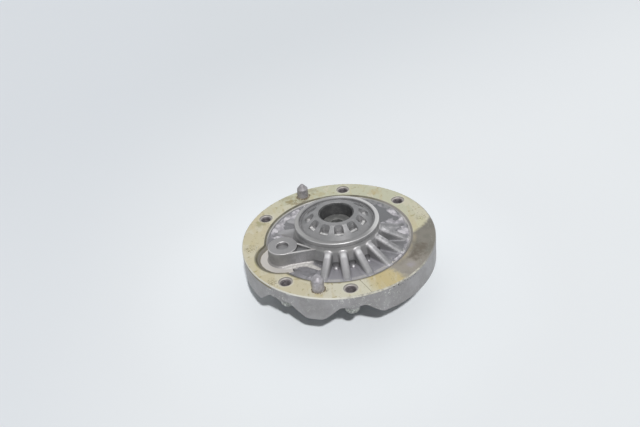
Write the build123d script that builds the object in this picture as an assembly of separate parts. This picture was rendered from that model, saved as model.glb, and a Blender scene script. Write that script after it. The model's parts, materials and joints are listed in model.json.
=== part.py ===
from build123d import *
import os
from math import acos, atan2, cos, degrees, hypot, radians, sin, tan

# Shock absorber bracket: a cast strut top mount. The origin is on the hub's axis, in the
# plane of the flange's top face. +Z points out of the top, and the ear lies towards -X.
# Lengths are in millimetres, angles in degrees counter-clockwise from +X seen from above.

os.makedirs("parts", exist_ok=True)

# Flange and skirt
FLANGE_R = 95.0
FLANGE_EDGE_R = 1.2
FLANGE_W = 23.7
FLANGE_T = 10.5
SKIRT_T = 6.5
SKIRT_DEPTH = 26.0
SKIRT_EDGE_R = 1.2

# Floor of the annular pocket between flange and hub
POCKET_DEPTH = 3.0
POCKET_LIP = 1.0
POCKET_LIP_W = 1.7
POCKET_SLOPE = 52.0
WEB_T = 9.0

# Notches in the skirt, one under each bolt hole
NOTCH_TOP = -12.0
NOTCH_HALF_W = 12.0
NOTCH_SLOPE = 41.0
NOTCH_TOP_R = 4.0
NOTCH_DEPTH = 14.5
LOBE_TIP_R = 14.0

# Bolt holes and locating pins, all on one circle
BOLT_INSET = 12.0
BOLT_ANGLES = (82.0, 37.5, 148.8, 229.8, 273.2)
PIN_ANGLES = {"locating_pin_rear": 112.0, "locating_pin_front": 253.0}
BOSS_R = 10.5
BOSS_DEPTH = 17.2
BOSS_FOOT_R = 9.6
BOSS_FOOT_EDGE_R = 1.2
PIN_BOSS_R = 8.5
PIN_BOSS_DEPTH = 18.0

# Steel threaded insert in each bolt boss
INSERT_R = 6.75
INSERT_BORE_R = 4.25
INSERT_MOUTH = 1.6
INSERT_SUNK = 0.4
INSERT_STICKOUT = 6.3
INSERT_TAIL_R = 5.9
INSERT_TAIL = 1.5

# Locating pins: a free end, and a thicker shank pressed in flush with the flange
PIN_R = 5.6
PIN_SHANK_R = 6.3
PIN_BURIED = 14.0
PIN_REAR_H = 15.3
PIN_REAR_POINT = 5.2
PIN_REAR_TIP_R = 1.4
PIN_FRONT_H = 15.2
PIN_FRONT_DOME = 3.4

# Hub: rim, coned roof and the collar round the central bore
HUB_R = 41.3
HUB_RIM_W = 4.9
HUB_TOP = 20.0
HUB_GROOVE = 2.4
HUB_RIM_H = 4.2
HUB_RIM_LIP = 0.7
HUB_DRAFT = 3.2
COLLAR_R = 22.0
COLLAR_TOP = 27.6
BORE_R = 15.75
ROOF_UNDERSIDE = 14.0
HUB_BOTTOM = -27.0
HUB_WALL = 7.8

# Core-outs round the coned roof
WINDOW_COUNT = 12
WINDOW_FIRST = 271.0
WINDOW_INNER_R = 22.4
WINDOW_OUTER_R = 30.7
WINDOW_INNER_W = 7.2
WINDOW_OUTER_W = 9.5
WINDOW_FLOOR = 20.0
WINDOW_CORNER_R = 2.5
WINDOW_DRAFT = 5.0

# Radial ribs between hub and flange
RIB_FIRST = 253.5
RIB_PITCH = 19.0
RIB_COUNT = 6
RIB_TOP_W = 7.6
RIB_TOP_R = 3.5
RIB_FLARE = 3.0
RIB_START_Z = 11.8
RIB_OVERRUN = 1.452
RIB_FOOT_R = 2.0
SWELL_ANGLES = (8.0, 141.0, 162.0)
SWELL_W = 7.0
SWELL_START_Z = 3.4
SWELL_INSET = 5.253
SWELL_FLARE = 36.0
PIP_ANGLES = (263.0, 282.0, 301.0)
PIP_CIRCLE_R = 49.0
PIP_R = 2.3

# Ear: a flat-topped boss in its own bulge of the pocket, tied to the hub by a web
EAR_CIRCLE_R = 59.1
EAR_ANGLE = 203.3
EAR_R = 14.0
EAR_TOP = 12.0
EAR_DRAFT = 2.0
EAR_EDGE_R = 0.9
EAR_FOOT_H = 2.0
EAR_FOOT_SLOPE = 45.0
EAR_HOLE_R = 6.0
EAR_HOLE_DEPTH = 3.4
EAR_HOLE_CHAMFER = 0.5
EAR_WEB_DROP = 0.6
EAR_WEB_TIP_ANGLE = 239.0
EAR_WEB_BACK_ANGLE = 14.0
EAR_WEB_RIM = 2.2
EAR_WEB_RECESS = 2.5
BULGE_GAP = 11.6
BULGE_BLEND_R = 9.0
BULGE_BACKING = 5.0

# Shallow recess between the ear's web and the first rib
RECESS_DEPTH = 1.8
RECESS_ANGLE = 232.0
RECESS_CIRCLE_R = 56.5
RECESS_L = 22.0
RECESS_W = 13.0

# Webs under the flange
UNDER_RIB_T = 4.5
UNDER_RIB_HUB_Z = -24.0
UNDER_RIB_MID_R = 62.0
UNDER_RIB_MID_Z = -17.5
UNDER_RIB_BLEND_R = 12.0
UNDER_RIB_SKIRT_Z = -20.0
UNDER_RIB_EXTRA = (3.0, 190.0, 318.0)

# Swaged collar under the hub, which grips the closing ring and the cup's flange
SWAGE_WALL = 2.7
SWAGE_LIP_W = 2.6
SWAGE_LIP_T = 1.8
SWAGE_SEAT_W = 7.3

# Rubber bush, its sleeve and its steel core
SLEEVE_T = 3.0
LINING_T = 1.35
RUBBER_COVER = 1.5
RUBBER_BOTTOM = -22.0
RUBBER_CREASE_W = 9.0
RUBBER_CREASE_TOP = -9.0
CORE_R = 10.4
ROD_HOLE_R = 6.0
CORE_BOTTOM = -25.0
SEAT_R = 23.0
SEAT_T = 4.5
SEAT_COLLAR_R = 14.9
SEAT_COLLAR_H = 3.0

# Closing ring, and the pressed cup for the bump stop that the bracket stands on
RING_W = 16.8
RING_T = 2.4
CUP_FLANGE_W = 6.8
CUP_T = 2.0
CUP_BOTTOM = -56.0
CUP_BEAD_R = 1.9
CUP_BEND_R = 2.6

# Sizes that follow from the values above
FLANGE_INNER_R = FLANGE_R - FLANGE_W
BOLT_CIRCLE_R = FLANGE_R - BOLT_INSET
FLOOR_Z = -POCKET_DEPTH
HUB_DRAFT_R = HUB_R + HUB_DRAFT
BUSH_R = HUB_R - HUB_WALL
SWAGE_R = BUSH_R + SWAGE_SEAT_W
HUB_LOWER_R = SWAGE_R + SWAGE_WALL
RING_INNER_R = SWAGE_R - RING_W
CUP_R = SWAGE_R - CUP_FLANGE_W
METAL_BORE_R = BORE_R + LINING_T
SLEEVE_INNER_R = BUSH_R - SLEEVE_T
SEAT_TOP = ROOF_UNDERSIDE - RUBBER_COVER
CUP_TOP = HUB_BOTTOM - RING_T
SWAGE_SEAT = CUP_TOP - CUP_T


def polar(radius, angle):
    """Point at a radius and angle round the hub's axis."""
    return (radius * cos(radians(angle)), radius * sin(radians(angle)))


def outline(corners):
    """Face through (x, y, radius) corners, each rounded to its own radius unless that is 0."""
    face = make_face(Polyline(*[(x, y) for x, y, _ in corners], close=True))
    for x, y, radius in corners:
        if radius:
            nearest = face.vertices().sort_by_distance((x, y, 0))[0]
            face = fillet(nearest, radius)
    return face


def turned(corners):
    """Solid of revolution from (r, z, radius) corners."""
    return revolve(Plane.XZ * outline(corners), axis=Axis.Z)


def upright(angle, radius):
    """Plane across a radial line: x is tangential, y is up and z points inward."""
    x, y = polar(radius, angle)
    return Plane(origin=(x, y, 0), x_dir=(-sin(radians(angle)), cos(radians(angle)), 0),
                 z_dir=(cos(radians(angle)), sin(radians(angle)), 0))


def disc(radius, low, high, at=(0, 0)):
    """Plain cylinder between two heights."""
    return Pos(at[0], at[1], low) * extrude(Circle(radius), amount=high - low)


# %% Casting: flange, web and skirt, turned in one piece
under_web = FLOOR_Z - WEB_T
skirt_inner_r = FLANGE_R - SKIRT_T
plate = turned([
    (HUB_R - HUB_RIM_W, under_web, 0),
    (HUB_R - HUB_RIM_W, 0, 0),
    (FLANGE_R, 0, FLANGE_EDGE_R),
    (FLANGE_R, -SKIRT_DEPTH, SKIRT_EDGE_R),
    (skirt_inner_r, -SKIRT_DEPTH, SKIRT_EDGE_R),
    (skirt_inner_r - 0.8, -FLANGE_T, 3.5),
    (FLANGE_INNER_R - 2, -FLANGE_T, 0),
])

# The cutter's lower corners round the tips of the lobes that are left between two notches
notch_run = (SKIRT_DEPTH + NOTCH_TOP) / tan(radians(NOTCH_SLOPE))
notch_foot = NOTCH_HALF_W + notch_run
cutter_side = notch_foot + LOBE_TIP_R
below = -SKIRT_DEPTH - 0.05
notch_outline = outline([
    (-cutter_side, below, 0),
    (-notch_foot, below, LOBE_TIP_R),
    (-NOTCH_HALF_W, NOTCH_TOP, NOTCH_TOP_R),
    (NOTCH_HALF_W, NOTCH_TOP, NOTCH_TOP_R),
    (notch_foot, below, LOBE_TIP_R),
    (cutter_side, below, 0),
    (cutter_side, below - SKIRT_DEPTH, 0),
    (-cutter_side, below - SKIRT_DEPTH, 0),
])
for angle in BOLT_ANGLES:
    start = upright(angle, FLANGE_R - NOTCH_DEPTH)
    plate -= extrude(start * notch_outline, amount=NOTCH_DEPTH + SKIRT_T)

# %% Pocket: the flange's inner circle with a bulge round the ear, blended by tangent arcs
ear_at = polar(EAR_CIRCLE_R, EAR_ANGLE)
bulge_r = EAR_R + BULGE_GAP
blend_from_hub = FLANGE_INNER_R + BULGE_BLEND_R
blend_from_ear = bulge_r + BULGE_BLEND_R
blend_spread = degrees(acos(
    (blend_from_hub**2 + EAR_CIRCLE_R**2 - blend_from_ear**2) / (2 * blend_from_hub * EAR_CIRCLE_R)))


def blend_arc(side):
    """Arc that runs from the flange's inner circle into the bulge; side is -1 or +1."""
    centre = Vector(*polar(blend_from_hub, EAR_ANGLE + side * blend_spread))
    ear_centre = Vector(*ear_at)
    on_circle = centre.normalized() * FLANGE_INNER_R
    on_bulge = ear_centre + (centre - ear_centre).normalized() * bulge_r
    middle = centre + ((on_circle + on_bulge) / 2 - centre).normalized() * BULGE_BLEND_R
    return ThreePointArc(on_circle, middle, on_bulge)


blend_in = blend_arc(-1)
blend_out = blend_arc(1)
far_side = polar(FLANGE_INNER_R, EAR_ANGLE + 180)
bulge_end = polar(EAR_CIRCLE_R + bulge_r, EAR_ANGLE)
pocket_face = make_face([
    blend_in,
    ThreePointArc(blend_in @ 1, bulge_end, blend_out @ 1),
    blend_out,
    ThreePointArc(blend_out @ 0, far_side, blend_in @ 0),
])
lip_face = offset(pocket_face, amount=POCKET_LIP_W)
lip = extrude(lip_face, amount=-POCKET_LIP, taper=degrees(atan2(POCKET_LIP_W, POCKET_LIP)))
slope = extrude(Pos(0, 0, -POCKET_LIP) * pocket_face, amount=POCKET_LIP - POCKET_DEPTH, taper=POCKET_SLOPE)
backing = disc(bulge_r + BULGE_BACKING, under_web, -FLANGE_T / 2, ear_at) & disc(skirt_inner_r, under_web, 0)
backing -= disc(HUB_R, under_web - 1, 1)
plate += backing
plate -= lip
plate -= slope

# %% Hub: turned body with the coned roof
rim_inner_r = HUB_R - HUB_RIM_W
hub = turned([
    (METAL_BORE_R, ROOF_UNDERSIDE, 0),
    (METAL_BORE_R, COLLAR_TOP, 0.5),
    (COLLAR_R, COLLAR_TOP, 1.6),
    (rim_inner_r - 1.2, HUB_TOP - HUB_GROOVE, 0.5),
    (rim_inner_r, HUB_TOP - HUB_GROOVE, 0.3),
    (rim_inner_r + 0.2, HUB_TOP, 0.5),
    (HUB_R, HUB_TOP, 1.6),
    (HUB_R, HUB_TOP - HUB_RIM_H, 0.8),
    (HUB_R - HUB_RIM_LIP, HUB_TOP - HUB_RIM_H - HUB_RIM_LIP, 0.8),
    (HUB_DRAFT_R, FLOOR_Z, 2.2),
    (HUB_DRAFT_R + 5, FLOOR_Z, 0),
    (HUB_DRAFT_R + 5, FLOOR_Z - 1, 0),
    (HUB_LOWER_R + 2, under_web + 0.5, 0),
    (HUB_LOWER_R, SWAGE_SEAT - SWAGE_LIP_T, 1.6),
    (SWAGE_R - SWAGE_LIP_W, SWAGE_SEAT - SWAGE_LIP_T, 0.6),
    (SWAGE_R - SWAGE_LIP_W, SWAGE_SEAT, 0),
    (SWAGE_R, SWAGE_SEAT, 0),
    (SWAGE_R, HUB_BOTTOM, 0),
    (BUSH_R, HUB_BOTTOM, 0.5),
    (BUSH_R, ROOF_UNDERSIDE, 0),
])
window = outline([
    (WINDOW_INNER_R, -WINDOW_INNER_W / 2, WINDOW_CORNER_R),
    (WINDOW_OUTER_R, -WINDOW_OUTER_W / 2, WINDOW_CORNER_R),
    (WINDOW_OUTER_R, WINDOW_OUTER_W / 2, WINDOW_CORNER_R),
    (WINDOW_INNER_R, WINDOW_INNER_W / 2, WINDOW_CORNER_R),
])
window_cut = Pos(0, 0, WINDOW_FLOOR) * extrude(window, amount=COLLAR_TOP - WINDOW_FLOOR, taper=-WINDOW_DRAFT)
for index in range(WINDOW_COUNT):
    hub -= Rot(0, 0, WINDOW_FIRST + index * 360 / WINDOW_COUNT) * window_cut

housing = plate + hub

# %% Radial ribs, low swells and ejector pips on the pocket floor
rib_zone = disc(FLANGE_INNER_R - 0.5, FLOOR_Z - 1.5, HUB_TOP)
rib_zone -= disc(BUSH_R + 2, FLOOR_Z - 2, HUB_TOP + 1)


def radial_rib(angle, top_w, start_z, end_r, flare):
    """Round-topped rib whose crest falls from the hub to meet the floor's level at end_r."""
    fall = degrees(atan2(start_z - FLOOR_Z, end_r - HUB_R))
    x, y = polar(HUB_R - 2, angle)
    level = cos(radians(fall))
    out = (cos(radians(angle)) * level, sin(radians(angle)) * level, -sin(radians(fall)))
    across = (-sin(radians(angle)), cos(radians(angle)), 0)
    section = Plane(origin=(x, y, start_z + 2 * tan(radians(fall))), x_dir=across, z_dir=out)
    depth = start_z - FLOOR_Z + 6
    foot = top_w / 2 + depth * tan(radians(flare))
    shape = outline([
        (-foot, -depth, 0),
        (-top_w / 2, 0, RIB_TOP_R),
        (top_w / 2, 0, RIB_TOP_R),
        (foot, -depth, 0),
    ])
    return extrude(section * shape, amount=FLANGE_INNER_R) & rib_zone


rib_end_r = FLANGE_INNER_R + RIB_OVERRUN
swell_end_r = FLANGE_INNER_R - SWELL_INSET
for index in range(RIB_COUNT):
    housing += radial_rib(RIB_FIRST + index * RIB_PITCH, RIB_TOP_W, RIB_START_Z, rib_end_r, RIB_FLARE)
for angle in SWELL_ANGLES:
    housing += radial_rib(angle, SWELL_W, SWELL_START_Z, swell_end_r, SWELL_FLARE)
rib_feet = housing.edges().filter_by(GeomType.LINE).filter_by_position(Axis.Z, FLOOR_Z - 0.01, FLOOR_Z + 0.01)
housing = fillet(rib_feet, RIB_FOOT_R)
for angle in PIP_ANGLES:
    x, y = polar(PIP_CIRCLE_R, angle)
    housing += Pos(x, y, FLOOR_Z) * Sphere(PIP_R)

# %% Shallow recess beside the ear's web
recess_at = polar(RECESS_CIRCLE_R, RECESS_ANGLE)
recess = Rot(0, 0, RECESS_ANGLE - 90) * RectangleRounded(RECESS_L, RECESS_W, RECESS_W * 0.4)
recess_tool = Pos(recess_at[0], recess_at[1], FLOOR_Z - RECESS_DEPTH) * extrude(
    recess, amount=RECESS_DEPTH, taper=-35)
housing -= recess_tool

# %% Ear: boss, web to the hub and the blind hole in its top
ear_h = EAR_TOP - FLOOR_Z + 1
ear = Pos(ear_at[0], ear_at[1], FLOOR_Z - 1) * extrude(
    Circle(EAR_R + ear_h * tan(radians(EAR_DRAFT))), amount=ear_h, taper=EAR_DRAFT)
ear = fillet(ear.edges().sort_by(Axis.Z)[-1], EAR_EDGE_R)
tip = polar(HUB_R - 1, EAR_WEB_TIP_ANGLE)
tip_gap = hypot(tip[0] - ear_at[0], tip[1] - ear_at[1])
tip_heading = degrees(atan2(tip[1] - ear_at[1], tip[0] - ear_at[0]))
front_heading = tip_heading - degrees(acos(EAR_R / tip_gap))
front = polar(EAR_R, front_heading)
back = polar(EAR_R, EAR_WEB_BACK_ANGLE)
web_face = make_face(Polyline(
    ear_at,
    (ear_at[0] + front[0], ear_at[1] + front[1]),
    tip,
    (ear_at[0] + back[0], ear_at[1] + back[1]),
    close=True))
web_top = EAR_TOP - EAR_WEB_DROP
web = Pos(0, 0, FLOOR_Z - 1) * extrude(web_face, amount=web_top - FLOOR_Z + 1)
foot_low = FLOOR_Z - RECESS_DEPTH - 1
foot_h = FLOOR_Z + EAR_FOOT_H - foot_low
foot = Pos(0, 0, foot_low) * extrude(offset(web_face, amount=foot_h), amount=foot_h, taper=EAR_FOOT_SLOPE)
ear_foot = extrude(Circle(EAR_R + foot_h), amount=foot_h, taper=EAR_FOOT_SLOPE)
foot += Pos(ear_at[0], ear_at[1], foot_low) * ear_foot
housing += foot
web_recess = offset(web_face, amount=-EAR_WEB_RIM, kind=Kind.INTERSECTION)
web -= Pos(0, 0, web_top - EAR_WEB_RECESS) * extrude(web_recess, amount=EAR_WEB_RECESS)
housing += web
housing += ear
ear_hole = disc(EAR_HOLE_R, EAR_TOP - EAR_HOLE_DEPTH, EAR_TOP, ear_at)
ear_hole += Pos(ear_at[0], ear_at[1], EAR_TOP) * Cone(
    EAR_HOLE_R, EAR_HOLE_R + EAR_HOLE_CHAMFER, EAR_HOLE_CHAMFER,
    align=(Align.CENTER, Align.CENTER, Align.MAX))
housing -= ear_hole

# %% Underside: bosses and radial webs
boss = turned([
    (0, -BOSS_DEPTH, 0),
    (BOSS_FOOT_R, -BOSS_DEPTH, BOSS_FOOT_EDGE_R),
    (BOSS_R, NOTCH_TOP, 0),
    (BOSS_R, -FLANGE_T / 2, 0),
    (0, -FLANGE_T / 2, 0),
])
for angle in BOLT_ANGLES:
    x, y = polar(BOLT_CIRCLE_R, angle)
    housing += Pos(x, y, 0) * boss
for angle in PIN_ANGLES.values():
    housing += disc(PIN_BOSS_R, -PIN_BOSS_DEPTH, -FLANGE_T / 2, polar(BOLT_CIRCLE_R, angle))


def under_rib(angle, outer_r, outer_z):
    """Radial web from the hub's lower ring to a boss or to the skirt."""
    shape = outline([
        (HUB_LOWER_R - 3, FLOOR_Z - WEB_T / 2, 0),
        (outer_r, FLOOR_Z - WEB_T / 2, 0),
        (outer_r, outer_z, 0),
        (UNDER_RIB_MID_R, max(UNDER_RIB_MID_Z, outer_z), UNDER_RIB_BLEND_R),
        (HUB_LOWER_R - 3, UNDER_RIB_HUB_Z, 0),
    ])
    return Rot(0, 0, angle) * extrude(Plane.XZ * shape, amount=UNDER_RIB_T / 2, both=True)


for angle in BOLT_ANGLES:
    housing += under_rib(angle, BOLT_CIRCLE_R, -BOSS_DEPTH)
for angle in (*PIN_ANGLES.values(), *UNDER_RIB_EXTRA):
    housing += under_rib(angle, skirt_inner_r + 2, UNDER_RIB_SKIRT_Z)

# %% Holes for the inserts and pins
for angle in BOLT_ANGLES:
    housing -= disc(INSERT_R, -BOSS_DEPTH - 1, 1, polar(BOLT_CIRCLE_R, angle))
for angle in PIN_ANGLES.values():
    housing -= disc(PIN_SHANK_R, -PIN_BURIED, 1, polar(BOLT_CIRCLE_R, angle))
export_step(housing, "parts/housing.step")

# %% Threaded inserts
insert_bottom = -BOSS_DEPTH - INSERT_STICKOUT
insert = turned([
    (INSERT_BORE_R, insert_bottom - INSERT_TAIL, 0),
    (INSERT_TAIL_R, insert_bottom - INSERT_TAIL, 0.5),
    (INSERT_TAIL_R, insert_bottom, 0),
    (INSERT_R, insert_bottom, 0.5),
    (INSERT_R, -INSERT_SUNK, 0),
    (INSERT_BORE_R + INSERT_MOUTH, -INSERT_SUNK, 0),
    (INSERT_BORE_R, -INSERT_SUNK - INSERT_MOUTH, 0),
])
for number, angle in enumerate(BOLT_ANGLES, start=1):
    x, y = polar(BOLT_CIRCLE_R, angle)
    export_step(Pos(x, y, 0) * insert, f"parts/threaded_insert_{number}.step")

# %% Locating pins: the rear one is pointed, the front one is worn round
pin_rear = turned([
    (0, -PIN_BURIED, 0),
    (PIN_SHANK_R, -PIN_BURIED, 0.8),
    (PIN_SHANK_R, 0, 0),
    (PIN_R, 0, 0),
    (PIN_R, PIN_REAR_H - PIN_REAR_POINT, 0.8),
    (PIN_REAR_TIP_R, PIN_REAR_H, 0.8),
    (0, PIN_REAR_H, 0),
])
pin_front = turned([
    (0, -PIN_BURIED, 0),
    (PIN_SHANK_R, -PIN_BURIED, 0.8),
    (PIN_SHANK_R, 0, 0),
    (PIN_R, 0, 0),
    (PIN_R, PIN_FRONT_H - PIN_FRONT_DOME, 2.0),
    (PIN_R - 2.6, PIN_FRONT_H, 1.6),
    (0, PIN_FRONT_H, 0),
])
for name, pin in (("locating_pin_rear", pin_rear), ("locating_pin_front", pin_front)):
    x, y = polar(BOLT_CIRCLE_R, PIN_ANGLES[name])
    export_step(Pos(x, y, 0) * pin, f"parts/{name}.step")

# %% Bush: sleeve, steel core with the rod seat, bonded rubber and closing ring
sleeve = turned([
    (SLEEVE_INNER_R, HUB_BOTTOM, 0.5),
    (BUSH_R, HUB_BOTTOM, 0.5),
    (BUSH_R, ROOF_UNDERSIDE, 0.5),
    (SLEEVE_INNER_R, ROOF_UNDERSIDE, 0.5),
])
export_step(sleeve, "parts/bush_sleeve.step")

rod_seat = turned([
    (ROD_HOLE_R, CORE_BOTTOM, 0.6),
    (CORE_R, CORE_BOTTOM, 0.8),
    (CORE_R, SEAT_TOP - SEAT_T, 1.5),
    (SEAT_R, SEAT_TOP - SEAT_T, 1.5),
    (SEAT_R, SEAT_TOP, 1.5),
    (SEAT_COLLAR_R, SEAT_TOP, 0.4),
    (SEAT_COLLAR_R, SEAT_TOP + SEAT_COLLAR_H, 1.0),
    (ROD_HOLE_R, SEAT_TOP + SEAT_COLLAR_H, 0.5),
])
export_step(rod_seat, "parts/rod_seat.step")

crease_mid_r = (CORE_R + SLEEVE_INNER_R) / 2
rubber = turned([
    (CORE_R - 2, RUBBER_BOTTOM, 0),
    (crease_mid_r - RUBBER_CREASE_W / 2 - 1.5, RUBBER_BOTTOM, 1.5),
    (crease_mid_r - RUBBER_CREASE_W / 2, RUBBER_CREASE_TOP, 3.5),
    (crease_mid_r + RUBBER_CREASE_W / 2, RUBBER_CREASE_TOP, 3.5),
    (crease_mid_r + RUBBER_CREASE_W / 2 + 1.5, RUBBER_BOTTOM, 1.5),
    (SLEEVE_INNER_R, RUBBER_BOTTOM, 0),
    (SLEEVE_INNER_R, ROOF_UNDERSIDE, 0),
    (METAL_BORE_R, ROOF_UNDERSIDE, 0),
    (METAL_BORE_R, COLLAR_TOP - 0.8, 0.5),
    (BORE_R, COLLAR_TOP - 0.8, 0.5),
    (BORE_R, SEAT_TOP, 0),
    (CORE_R - 2, SEAT_TOP, 0),
])
rubber -= rod_seat
rubber -= disc(CORE_R, RUBBER_BOTTOM - 1, SEAT_TOP + SEAT_COLLAR_H + 1)
export_step(rubber, "parts/rubber_bush.step")

ring = turned([
    (RING_INNER_R, CUP_TOP, 0.8),
    (RING_INNER_R, HUB_BOTTOM, 0.8),
    (SWAGE_R, HUB_BOTTOM, 0.4),
    (SWAGE_R, CUP_TOP, 0),
])
export_step(ring, "parts/retaining_ring.step")

# %% Bump stop cup: flange gripped by the hub's collar, wall and a rolled rim to stand on
cup_inner_r = CUP_R - CUP_T
cup = turned([
    (cup_inner_r, CUP_TOP, CUP_BEND_R + CUP_T),
    (SWAGE_R, CUP_TOP, 0),
    (SWAGE_R, SWAGE_SEAT, 0.4),
    (CUP_R, SWAGE_SEAT, CUP_BEND_R),
    (CUP_R, CUP_BOTTOM, 0),
    (cup_inner_r, CUP_BOTTOM, 0),
])
bead_at = (cup_inner_r + CUP_BEAD_R, CUP_BOTTOM + CUP_BEAD_R)
cup -= disc(CUP_R + 1, CUP_BOTTOM - 1, bead_at[1])
cup += revolve(Plane.XZ * Pos(*bead_at) * Circle(CUP_BEAD_R), axis=Axis.Z)
export_step(cup, "parts/bump_stop_cup.step")
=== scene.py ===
# %% [markdown]
# # A cast shock absorber bracket
#
# This is the top mount of a car's front strut: an aluminium casting with steel inserts, two
# locating pins and a rubber bush in its hub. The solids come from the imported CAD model, which
# is loaded first and stays as it is. What is added here is the finish of each surface: the
# yellowed coating on the flange, the as-cast skin with its lumps, threads, dirt and wear.

import bmesh
import bpy
import json
from math import cos, degrees, hypot, pi, radians, sin
from mathutils import Matrix, Vector, noise
from random import Random


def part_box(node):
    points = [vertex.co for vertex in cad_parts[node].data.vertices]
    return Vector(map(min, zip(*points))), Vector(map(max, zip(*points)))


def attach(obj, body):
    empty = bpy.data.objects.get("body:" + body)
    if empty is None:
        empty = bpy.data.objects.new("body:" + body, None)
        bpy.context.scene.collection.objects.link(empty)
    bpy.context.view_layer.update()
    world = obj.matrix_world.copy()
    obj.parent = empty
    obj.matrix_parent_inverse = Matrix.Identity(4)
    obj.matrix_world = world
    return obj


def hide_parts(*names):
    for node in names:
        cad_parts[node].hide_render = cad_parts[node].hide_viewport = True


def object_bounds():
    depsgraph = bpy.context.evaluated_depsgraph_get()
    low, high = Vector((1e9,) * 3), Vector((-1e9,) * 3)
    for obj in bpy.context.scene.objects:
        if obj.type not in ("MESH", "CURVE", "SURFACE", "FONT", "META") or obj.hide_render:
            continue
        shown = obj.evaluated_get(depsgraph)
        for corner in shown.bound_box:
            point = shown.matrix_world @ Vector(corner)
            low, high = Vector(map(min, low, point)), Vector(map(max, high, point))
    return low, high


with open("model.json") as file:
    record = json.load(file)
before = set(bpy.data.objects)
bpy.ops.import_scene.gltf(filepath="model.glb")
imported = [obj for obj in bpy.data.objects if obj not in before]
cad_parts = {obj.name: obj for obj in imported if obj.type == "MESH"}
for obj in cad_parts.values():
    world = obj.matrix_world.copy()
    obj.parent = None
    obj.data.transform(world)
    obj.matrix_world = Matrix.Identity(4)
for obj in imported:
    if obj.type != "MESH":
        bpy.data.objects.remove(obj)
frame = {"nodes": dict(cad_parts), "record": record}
nodes = frame["nodes"]
cad_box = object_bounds()
MM = 0.001


def in_mm(box):
    """A box's two corners in millimetres, to be printed."""
    return [[round(v / MM, 1) for v in corner] for corner in box]


print("nodes:", len(nodes), "box in mm:", in_mm(cad_box))

# %% [markdown]
# ## The view
#
# The photograph looks down on the bracket from the front at about 34 degrees, with the camera
# turned a little about its own line of sight. The object stays level and the camera takes the
# turn, so the floor stays level too.

# %% Camera
VIEW_FROM = Vector((-15.36, -637.84, 457.41)) * MM
VIEW_DOWN = radians(33.95)
VIEW_ROLL = radians(-6.315)
LENS_MM = 45.0
SENSOR_MM = 36.0

camera_data = bpy.data.cameras.new("camera")
camera_data.lens = LENS_MM
camera_data.sensor_width = SENSOR_MM
camera = bpy.data.objects.new("camera", camera_data)
bpy.context.scene.collection.objects.link(camera)
camera.matrix_world = (
    Matrix.Translation(VIEW_FROM)
    @ Matrix.Rotation(pi / 2 - VIEW_DOWN, 4, "X")
    @ Matrix.Rotation(VIEW_ROLL, 4, "Z")
)
bpy.context.scene.camera = camera
print("camera at", [round(v, 3) for v in camera.location])

# %% [markdown]
# ## Materials in short calls
#
# Every finish below is a tree of nodes that reads the Object coordinates, so a pattern sits on
# the metal and not on the picture. The trees share the same few steps: a noise, a threshold, a
# mix of two colours. One small class gives each step a short name, and a finish then reads like
# a recipe. Colours are given as they look on a screen, and turned into linear values.

# %% A class that wires nodes
def feed(tree, socket, value):
    """Sets a socket to a value, or links it where the value is itself a socket."""
    if isinstance(value, bpy.types.NodeSocket):
        tree.links.new(value, socket)
    else:
        socket.default_value = value


def new_node(tree, kind, inputs, settings):
    """Adds a node, with its settings and what goes into its sockets."""
    node = tree.nodes.new(kind)
    for name, value in settings.items():
        setattr(node, name, value)
    for socket, value in (inputs or {}).items():
        feed(tree, node.inputs[socket], value)
    return node


def screen(red, green, blue):
    """A colour as a screen shows it, 0 to 255, turned into a linear colour."""
    return tuple(((v / 255 + 0.055) / 1.055) ** 2.4 for v in (red, green, blue)) + (1.0,)


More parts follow.
